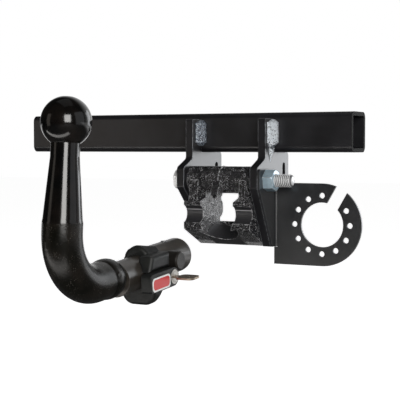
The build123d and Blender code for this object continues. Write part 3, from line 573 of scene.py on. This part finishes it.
bar_coat = satin_powder_coat(
    "satin_powder_coat", (0.010, 0.010, 0.012), edge=0.5, wear=0.04, is_bar=True
)
plate_coat = satin_powder_coat("plate_powder_coat", (0.008, 0.008, 0.010), edge=0.7, wear=0.6)
sheet_coat = satin_powder_coat("sheet_powder_coat", (0.020, 0.021, 0.023), edge=0.4, wear=0.25)
casting = painted_casting()
neck_black = neck_paint()
barrel = blackened_steel("blackened_barrel", (0.026, 0.022, 0.018), (0.050, 0.043, 0.035), 0.7)
pin_steel = blackened_steel("blackened_pin", (0.010, 0.009, 0.008), (0.022, 0.019, 0.016), 0.3)
zinc = zinc_plate()
plastic = moulded_plastic()
label_print = lever_label_print()
ground_steel = polished_metal("ground_steel", (0.56, 0.56, 0.57), 0.25)
spring_steel = polished_metal("spring_steel", (0.42, 0.42, 0.45), 0.3)
bush_bronze = polished_metal("bush_bronze", (0.55, 0.38, 0.2), 0.35)
lock_chrome = polished_metal("lock_chrome", (0.42, 0.40, 0.37), 0.24)
key_nickel = polished_metal("key_nickel", (0.46, 0.38, 0.30), 0.35)
rubber = seal_rubber()

finishes = {
    "crossbar": bar_coat,
    "bracket_left": plate_coat,
    "bracket_right": plate_coat,
    "receiver": casting,
    "hitch_nut": zinc,
    "fixing_bolts": zinc,
    "socket_plate": sheet_coat,
    "coupling_body": barrel,
    "cross_pin": pin_steel,
    "cap_seal": rubber,
    "barrel_cap": barrel,
    "cap_screw": ground_steel,
    "bore_plug": ground_steel,
    "ball_neck": neck_black,
    "neck_pin": pin_steel,
    "release_lever": plastic,
    "lever_label": label_print,
    "lever_shaft": ground_steel,
    "shaft_bushes": bush_bronze,
    "lift_cam": ground_steel,
    "lock_housing": lock_chrome,
    "lock_plug": lock_chrome,
    "key": key_nickel,
    "lock_wedge": ground_steel,
    "lock_bolt": ground_steel,
    "bolt_spring": spring_steel,
    "cover_left": plastic,
    "cover_right": plastic,
    "cover_screws": ground_steel,
}
for node_name, material in finishes.items():
    mesh = nodes[node_name].data
    mesh.materials.clear()
    mesh.materials.append(material)


def new_piece(name, mesh_builder, material, body):
    """A mesh object from a filled bmesh, riding on a body."""
    mesh = bpy.data.meshes.new(name)
    bmesh.ops.recalc_face_normals(mesh_builder, faces=mesh_builder.faces)
    mesh_builder.to_mesh(mesh)
    mesh_builder.free()
    mesh.materials.append(material)
    piece = bpy.data.objects.new(name, mesh)
    bpy.context.scene.collection.objects.link(piece)
    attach(piece, body)
    return piece


def skin_rows(mesh_builder, rows):
    """A closed skin through rows of points, each a ring, with a cap on the first and the last."""
    rings = [[mesh_builder.verts.new(point) for point in row] for row in rows]
    for near, far in zip(rings, rings[1:]):
        for index in range(len(near)):
            following = (index + 1) % len(near)
            corners = (near[index], near[following], far[following], far[index])
            mesh_builder.faces.new(corners).smooth = True
    mesh_builder.faces.new(rings[0])
    mesh_builder.faces.new(rings[-1])


# The hitch bolt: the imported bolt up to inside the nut, then an M16 thread to its domed end
THREAD_RADIUS = 8 * MM
THREAD_PITCH = 2.4 * MM
THREAD_DEPTH = 1.5 * MM
THREAD_FLAT = 0.12
THREAD_CHAMFER = 1.5 * MM
THREAD_STEPS_ROUND = 40
THREAD_STEPS_PITCH = 10
END_DOME_RISE = 1.6 * MM
END_DOME_STEPS = 4
# Millimetres below the crest where the painted shade in the groove starts and is full, before the
# bolt's end where its bright face starts and is full, and before the nut's face where the thread
# starts
GROOVE_START, GROOVE_FULL = 0.3, 1.1
END_FACE_START, END_FACE_FULL = 1.0, 0.6
THREAD_START = 0.5
THREAD_WHITE = (0.98, 0.99, 1.0)
# Colour of the painted shade in the grooves
GROOVE_PAINTED_SHADE = (0.20, 0.20, 0.21)


def thread_zinc():
    """Bright zinc plate, rougher and with painted shade in the grooves between the turns."""
    material, finish = new_finish("thread_zinc")
    place = finish.place()
    x = finish.part_of(place, "X")
    crest = THREAD_RADIUS / MM
    end = bolt_high.x / MM
    nut_face = nut_high.x / MM
    stand_out = x.rise(nut_face - THREAD_START, nut_face)
    end_face = x.rise(end - END_FACE_START, end - END_FACE_FULL)
    sunk = finish.distance_from(bolt_axis, place).rise(crest - GROOVE_START, crest - GROOVE_FULL)
    # Painted shade in the grooves, which are also rougher
    shaded_groove = sunk * stand_out * (1 - end_face)
    marks = finish.grain(place, 0.7, detail=3.0)
    surface(
        finish,
        Base_Color=finish.blend(shaded_groove, THREAD_WHITE, GROOVE_PAINTED_SHADE),
        Metallic=0.25,
        Roughness=0.3 + marks * 0.1 + shaded_groove * 0.2,
        Normal=finish.relief(marks, 0.03),
    )
    return material


def thread_radius(x, turn, end_x):
    """The thread's radius at a place along the bolt and a share of a turn round it."""
    phase = ((x / THREAD_PITCH) - turn) % 1.0
    flank = abs(phase - 0.5) * 2
    cut = min(1.0, max(0.0, (flank - THREAD_FLAT) / (1 - 2 * THREAD_FLAT)))
    chamfer_limit = THREAD_RADIUS - THREAD_CHAMFER + (end_x - x)
    return min(THREAD_RADIUS - THREAD_DEPTH * cut, chamfer_limit)


def thread_rows(start_x, end_x):
    """Rings of points along the helical thread."""
    count = round((end_x - start_x) / THREAD_PITCH * THREAD_STEPS_PITCH)
    rows = []
    for ring in range(count + 1):
        x = start_x + (end_x - start_x) * ring / count
        row = []
        for step in range(THREAD_STEPS_ROUND):
            turn = step / THREAD_STEPS_ROUND
            radius = thread_radius(x, turn, end_x)
            y = bolt_axis.y + radius * cos(2 * pi * turn)
            z = bolt_axis.z + radius * sin(2 * pi * turn)
            row.append((x, y, z))
        rows.append(row)
    return rows


def dome_rows(base_row, end_x):
    """Rings of points that draw in from a ring over the bolt's domed end."""
    rows = []
    for step in range(1, END_DOME_STEPS + 1):
        turn_in = pi / 2 * step / (END_DOME_STEPS + 1)
        x = end_x + END_DOME_RISE * (sin(turn_in) - 1)
        row = []
        for _, y, z in base_row:
            in_y = bolt_axis.y + (y - bolt_axis.y) * cos(turn_in)
            in_z = bolt_axis.z + (z - bolt_axis.z) * cos(turn_in)
            row.append((x, in_y, in_z))
        rows.append(row)
    return rows


def threaded_bolt():
    """The zinc-plated bolt with a real helical thread where it stands out of the nut."""
    start_x = (nut_low.x + nut_high.x) / 2
    builder = bmesh.new()
    builder.from_mesh(nodes["hitch_bolt"].data)
    bmesh.ops.bisect_plane(
        builder,
        geom=builder.verts[:] + builder.edges[:] + builder.faces[:],
        plane_co=(start_x, 0, 0),
        plane_no=(1, 0, 0),
        clear_outer=True,
    )
    bmesh.ops.holes_fill(builder, edges=builder.edges[:])
    rows = thread_rows(start_x, bolt_high.x - END_DOME_RISE)
    skin_rows(builder, rows + dome_rows(rows[-1], bolt_high.x))
    piece = new_piece("threaded_bolt", builder, thread_zinc(), "hitch")
    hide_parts("hitch_bolt")


# Weld beads: rippled fillets down both sides of the plates, wider along the plate than the bar
BEAD_STEP = 0.4 * MM
BEAD_POINTS = 12
BEAD_BULGE = 0.86
BEAD_BULGE_POWER = 1.6
BEAD_LIMIT = 1.04
BEAD_END_SHARE = 0.35
BEAD_END_LENGTH = 4 * MM
BEAD_WANDER = 0.4 * MM
BEAD_NOISE_ALONG_X = 90
BEAD_NOISE_TURN = 1.5
BEAD_NOISE_DOWN = 260
RIPPLE_PITCH = 2.3 * MM
RIPPLE_DEPTH = 0.55 * MM
RIPPLE_BOW = 0.9 * MM
RIPPLE_POWER = 0.6
RIPPLE_MIDDLE = 0.6
LEFT_LEG_RATIO = 2.3
RIGHT_LEG_RATIO = 2.6
bead_leg = bar_low.y - bead_low.y


def bead_section(face_x, side, z, reach, leg_ratio):
    """One ring of points across a bead at height z, from the plate's face round to the bar's."""
    row = []
    for index in range(BEAD_POINTS + 1):
        turn = pi / 2 * index / BEAD_POINTS
        bow = cos(2 * turn)
        ripple = ((z + RIPPLE_BOW * bow) / RIPPLE_PITCH % 1.0) ** RIPPLE_POWER
        spot = (face_x * BEAD_NOISE_ALONG_X, turn * BEAD_NOISE_TURN, z * BEAD_NOISE_DOWN)
        wander = noise.noise(Vector(spot))
        out = reach * (BEAD_BULGE + (1 - BEAD_BULGE) * abs(bow) ** BEAD_BULGE_POWER)
        out += RIPPLE_DEPTH * (ripple - RIPPLE_MIDDLE) + BEAD_WANDER * wander
        out = min(out, reach * BEAD_LIMIT)
        on_plate = out * cos(turn) * leg_ratio
        row.append((face_x + side * out * sin(turn), bar_low.y - on_plate, z))
    return row + [(face_x, bar_low.y, z)]


def weld_bead(builder, face_x, side, leg_ratio):
    """A bead down one side of a plate, its two ends tapering into the corner."""
    count = round((bead_high.z - bead_low.z) / BEAD_STEP)
    rows = []
    for step in range(count + 1):
        z = bead_low.z + (bead_high.z - bead_low.z) * step / count
        from_end = min(z - bead_low.z, bead_high.z - z)
        swell = BEAD_END_SHARE + (1 - BEAD_END_SHARE) * from_end / BEAD_END_LENGTH
        rows.append(bead_section(face_x, side, z, bead_leg * min(1.0, swell), leg_ratio))
    skin_rows(builder, rows)


# The run of weld that droops to a point below the bar on the right plate
TAIL_LENGTH = 20 * MM
TAIL_WIDTH = 18 * MM
TAIL_HEIGHT = 7.5 * MM
TAIL_BEFORE_BAR = 9 * MM
TAIL_OVERLAP = 6 * MM
TAIL_TIP = 0.97
TAIL_TAPER = 0.8
TAIL_WAVES = 14
TAIL_WAVE_SHARE = 0.1
TAIL_LUMP_SHARE = 0.16
TAIL_NOISE_ACROSS = 2
TAIL_NOISE_DOWN = 300
TAIL_NOISE_ROW = 3.0
TAIL_STEPS = 40
TAIL_POINTS = 14


def weld_tail(builder, face_x, side):
    """The drooping run of weld on a plate's face."""
    middle_y = bar_low.y - TAIL_BEFORE_BAR
    rows = []
    for step in range(TAIL_STEPS + 1):
        share = step / TAIL_STEPS * TAIL_TIP
        wave = 1 - TAIL_WAVE_SHARE + TAIL_WAVE_SHARE * sin(TAIL_WAVES * share)
        width = TAIL_WIDTH * (1 - share) ** TAIL_TAPER * wave
        height = TAIL_HEIGHT * (1 - share)
        z = bead_low.z + TAIL_OVERLAP - (TAIL_LENGTH + TAIL_OVERLAP) * share
        row = []
        for index in range(TAIL_POINTS + 1):
            spread = 2 * index / TAIL_POINTS - 1
            spot = (spread * TAIL_NOISE_ACROSS, z * TAIL_NOISE_DOWN, TAIL_NOISE_ROW)
            lump = 1 + TAIL_LUMP_SHARE * noise.noise(Vector(spot))
            out = height * (1 - spread * spread) ** 0.5 * lump
            row.append((face_x + side * out, middle_y + spread * width / 2, z))
        rows.append(row)
    skin_rows(builder, rows)


# The weld's paint: painted glints on the left; on the right a painted white highlight with dark
# specks, and a crater of painted shade at the top of the run, whose start and full radius are in
# millimetres
WELD_LEFT_DARK = (0.05, 0.06, 0.08)
WELD_LEFT_PAINTED_GLINT = (0.46, 0.53, 0.62)
WELD_RIGHT_PAINTED_HIGHLIGHT = (0.88, 0.94, 1.0)
WELD_RIGHT_DARK = (0.06, 0.08, 0.10)
CRATER_BELOW_BEAD = 1.5 * MM
CRATER_START, CRATER_FULL = 3.8, 2.8
CRATER_STRETCH = 0.35


def painted_crater_shade(finish, place):
    """1 in the crater of painted shade at the top of the run of weld below the bar."""
    run_y = finish.part_of(place, "Y") - (bar_low.y - TAIL_BEFORE_BAR) / MM
    run_z = finish.part_of(place, "Z") - (bead_low.z - CRATER_BELOW_BEAD) / MM
    from_middle = (run_y * run_y * CRATER_STRETCH + run_z * run_z) ** 0.5
    return from_middle.rise(CRATER_START, CRATER_FULL) * finish.glints(place, 2.4, 0.95)


def weld_coat():
    """Thin gloss paint over a weld, so that each ripple catches the light; its colours are painted
    highlight and shade.
    """
    material, finish = new_finish("weld_coat")
    place = finish.place()
    spatter = finish.grain(place, 1.1, detail=3.0)
    left = finish.blend(finish.glints(place, 1.1, 0.4), WELD_LEFT_DARK, WELD_LEFT_PAINTED_GLINT)
    dark_specks_and_crater_shade = finish.glints(place, 2.0, 0.08).at_least(painted_crater_shade(finish, place))
    right = finish.blend(dark_specks_and_crater_shade, WELD_RIGHT_PAINTED_HIGHLIGHT, WELD_RIGHT_DARK)
    # The right beads are painted as a lit white highlight, the left ones darker as a less lit copy
    on_right = finish.part_of(place, "X").rise(plate_right[0].x / MM, plate_right[1].x / MM)
    surface(
        finish,
        Base_Color=finish.blend(on_right, left, right),
        Roughness=0.14 + spatter * 0.12,
        IOR=1.9,
        Specular_IOR_Level=1.0,
        Normal=finish.relief(spatter, 1.2),
    )
    return material


def weld_seams():
    """All the beads and the run as one piece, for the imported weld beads."""
    builder = bmesh.new()
    for (low, high), leg_ratio in ((plate_left, LEFT_LEG_RATIO), (plate_right, RIGHT_LEG_RATIO)):
        weld_bead(builder, low.x, -1, leg_ratio)
        weld_bead(builder, high.x, 1, leg_ratio)
    weld_tail(builder, plate_right[1].x, 1)
    piece = new_piece("weld_seams", builder, weld_coat(), "hitch")
    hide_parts("weld_beads")


# The casting's parting seam: a broken ridge round the boss, from behind it over its front
SEAM_X = -1.6 * MM
SEAM_WIDTH = 2.2 * MM
SEAM_HEIGHT = 0.9 * MM
SEAM_SUNK = 0.2 * MM
SEAM_WANDER = 0.9 * MM
SEAM_LEAST_SWELL = 0.35
SEAM_SWELL_RANGE = 1.3
SEAM_LEAST_WIDTH = 0.6
SEAM_START = radians(30)
SEAM_SWEEP = radians(205)
SEAM_STEPS = 150
SEAM_POINTS = 6
# Where the seam's sideways wander and its swell are read from the noise, and their step
WANDER_ROW, WANDER_STEP = Vector((0, 0.5, 0)), 0.21
SWELL_ROW, SWELL_STEP = Vector((0, 7, 2)), 0.43
SEAM_BLACK = (0.010, 0.010, 0.012)
# Colour of the painted highlights on the seam
SEAM_PAINTED_GLINT = (0.55, 0.55, 0.58)
BOSS_RADIUS = 17 * MM
BOSS_BEHIND_BOLT = 4.5 * MM
boss_axis_y = bolt_axis.y + BOSS_BEHIND_BOLT


def seam_painted_glints():
    """Casting paint on the seam, with painted glints as bright spots."""
    material, finish = new_finish("seam_painted_glints")
    # Painted highlight specks along the seam
    painted_glint_specks = finish.glints(finish.place(), 1.6, 0.5)
    surface(
        finish,
        Base_Color=finish.blend(painted_glint_specks, SEAM_BLACK, SEAM_PAINTED_GLINT),
        Roughness=0.2 + painted_glint_specks * 0.15,
        Normal=finish.relief(painted_glint_specks, 0.4),
    )
    return material


def seam_section(angle, middle_x, swell):
    """One ring of points across the seam's ridge at an angle round the boss."""
    row = []
    for index in range(SEAM_POINTS + 1):
        spread = 2 * index / SEAM_POINTS - 1
        ridge = (SEAM_HEIGHT * swell + SEAM_SUNK) * (1 - spread * spread)
        out = BOSS_RADIUS - SEAM_SUNK + ridge
        width = SEAM_WIDTH * (SEAM_LEAST_WIDTH + (1 - SEAM_LEAST_WIDTH) * swell)
        x = middle_x + spread * width / 2
        row.append((x, boss_axis_y + out * cos(angle), bolt_axis.z + out * sin(angle)))
    return row


def parting_seam():
    """A thin uneven ridge where the mould's halves met."""
    builder = bmesh.new()
    rows = []
    for step in range(SEAM_STEPS + 1):
        angle = SEAM_START + SEAM_SWEEP * step / SEAM_STEPS
        wander = SEAM_WANDER * noise.noise(WANDER_ROW + Vector((step * WANDER_STEP, 0, 0)))
        uneven = abs(noise.noise(SWELL_ROW + Vector((step * SWELL_STEP, 0, 0))))
        swell = SEAM_LEAST_SWELL + SEAM_SWELL_RANGE * uneven
        rows.append(seam_section(angle, SEAM_X + wander, swell))
    skin_rows(builder, rows)
    new_piece("parting_seam", builder, seam_painted_glints(), "hitch")


def working_spring():
    """A copy of the lock bolt's spring, which the rising bolt presses together against its seat;
    the copy rides on the neck at its imported length.
    """
    spring_low, spring_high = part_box("bolt_spring")
    seat_end = (spring_low + spring_high) / 2
    seat_end.z = spring_high.z
    piece = bpy.data.objects.new("working_spring", nodes["bolt_spring"].data.copy())
    bpy.context.scene.collection.objects.link(piece)
    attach(piece, "neck")
    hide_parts("bolt_spring")
    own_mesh(piece)


threaded_bolt()
weld_seams()
parting_seam()
working_spring()


# The stage: metals mirror white only behind the object, so that its black paint stays black. The
# floor turns white by millimetres behind the bar, the world by the Y of its direction
FLOOR_DROP = 0.16
FLOOR_SIZE = 16
FLOOR_WHITE_START, FLOOR_WHITE_FULL = 200, 900
FLOOR_GLOW = 0.94
FLOOR_PALE = 0.9
FLOOR_DIM = 0.18
WORLD_WHITE_START, WORLD_WHITE_FULL = 0.5, 0.95
WORLD_LEAST_LIGHT = 0.02
WORLD_BACK_LIGHT = 0.3


def shows_background(finish, behind):
    """1 for the camera, and behind the object also for what its metals mirror or let through."""
    camera = finish.node("ShaderNodeLightPath", output="Is Camera Ray")
    mirrored = finish.node("ShaderNodeLightPath", output="Is Glossy Ray")
    through = finish.node("ShaderNodeLightPath", output="Is Transmission Ray")
    return camera.at_least(mirrored.at_least(through) * behind)


def grey_diffuse(finish, level):
    """A matt shader of an even grey."""
    return finish.node("ShaderNodeBsdfDiffuse", None, {"Color": opaque([level] * 3)})


def pale_floor():
    """A plain white floor that takes soft shadows."""
    material, finish = new_finish("pale_floor")
    behind = finish.part_of(finish.place(), "Y").rise(FLOOR_WHITE_START, FLOOR_WHITE_FULL)
    seen = shows_background(finish, behind)
    dim = grey_diffuse(finish, FLOOR_DIM)
    pale = grey_diffuse(finish, FLOOR_PALE)
    glow = {"Color": opaque(WHITE), "Strength": FLOOR_GLOW}
    shining = finish.node("ShaderNodeEmission", None, glow)
    lit = finish.node("ShaderNodeAddShader", None, {0: pale, 1: shining})
    mixed = finish.node("ShaderNodeMixShader", None, {0: seen, 1: dim, 2: lit})
    finish.node("ShaderNodeOutputMaterial", None, {"Surface": mixed})
    floor_z = cad_low.z - FLOOR_DROP
    bpy.ops.mesh.primitive_plane_add(size=FLOOR_SIZE, location=(0, 0, floor_z))
    floor = bpy.context.object
    floor.name = "floor"
    floor.data.materials.append(material)


def studio_world():
    """White behind the object, dim on the camera's side; the camera itself sees plain white."""
    world = bpy.data.worlds.new("studio")
    bpy.context.scene.world = world
    world.use_nodes = True
    finish = Finish(world.node_tree)
    direction = finish.node("ShaderNodeTexCoord", output="Generated")
    behind = finish.part_of(direction, "Y").rise(WORLD_WHITE_START, WORLD_WHITE_FULL)
    level = WORLD_LEAST_LIGHT + behind * WORLD_BACK_LIGHT
    strength = level + shows_background(finish, behind) * (1 - level)
    inputs = {"Color": opaque(WHITE), "Strength": strength}
    background = finish.node("ShaderNodeBackground", None, inputs)
    finish.node("ShaderNodeOutputWorld", None, {"Surface": background})


def softbox(name, place, aim, size, radiance, colour=WHITE):
    """A soft lamp whose face, size wide and high, shines at a radiance; the camera can't see it."""
    width, height = size
    lamp = bpy.data.lights.new(name, "AREA")
    lamp.shape = "RECTANGLE"
    lamp.size = width
    lamp.size_y = height
    lamp.energy = radiance * pi * width * height
    lamp.color = colour
    holder = bpy.data.objects.new(name, lamp)
    bpy.context.scene.collection.objects.link(holder)
    holder.location = place
    holder.rotation_mode = "QUATERNION"
    holder.rotation_quaternion = (Vector(aim) - Vector(place)).to_track_quat("-Z", "Y")
    holder.visible_camera = False


# Lamp colours
KEY_WHITE = (1.0, 0.985, 0.96)
REAR_BLUE = (0.93, 0.96, 1.0)
SIDE_BLUE = (0.95, 0.97, 1.0)
LEFT_AMBER = (1.0, 0.9, 0.8)
LOW_CREAM = (1.0, 0.97, 0.94)


def studio_lamps():
    """A key lamp by the camera, and panels for the faces and edges that mirror them."""
    # The ball's hot spot and the strip down the neck
    softbox("key_softbox", (1.06, -1.66, 0.40), (0, -0.42, -0.02), (0.8, 0.95), 11.0, KEY_WHITE)
    # The plates' right faces
    softbox("rear_panel", (0.80, 1.36, 0.30), (0.05, -0.06, 0), (0.95, 1.1), 2.4, REAR_BLUE)
    # The nut and the neck's right side
    softbox("side_panel", (1.65, -0.1, 0.3), (0.06, -0.07, -0.03), (1.4, 1.7), 0.6, SIDE_BLUE)
    # The bar's front, warm towards its left end
    softbox("left_panel", (-1.15, -1.35, 0.1), (-0.2, -0.1, 0), (0.5, 1.2), 0.6, LEFT_AMBER)
    # All that looks up
    softbox("top_panel", (-0.1, -0.3, 1.3), (0, -0.15, 0), (1.2, 0.8), 0.15)
    # The bar's lower edge and the underside of the ball
    softbox("low_panel", (-0.28, -0.58, -0.335), (-0.28, -0.30, 0), (1.0, 0.12), 3.2, LOW_CREAM)


# The photograph's camera, solved from the bar's perspective
CAMERA_PLACE = Vector((0.5827, -1.2664, -0.0178))
CAMERA_AZIMUTH = radians(27.4)
CAMERA_PITCH = radians(-2.9)
CAMERA_LENS = 94.95
CAMERA_SENSOR = 36


def photograph_camera():
    """The camera where the photograph was taken."""
    lens = bpy.data.cameras.new("photograph")
    lens.lens = CAMERA_LENS
    lens.sensor_width = CAMERA_SENSOR
    camera = bpy.data.objects.new("photograph", lens)
    bpy.context.scene.collection.objects.link(camera)
    camera.location = CAMERA_PLACE
    level = cos(CAMERA_PITCH)
    leftward = -sin(CAMERA_AZIMUTH) * level
    forward = cos(CAMERA_AZIMUTH) * level
    direction = Vector((leftward, forward, sin(CAMERA_PITCH)))
    camera.rotation_mode = "QUATERNION"
    camera.rotation_quaternion = direction.to_track_quat("-Z", "Y")
    bpy.context.scene.camera = camera


pale_floor()
studio_world()
studio_lamps()
photograph_camera()
bpy.context.scene.view_settings.view_transform = "Standard"
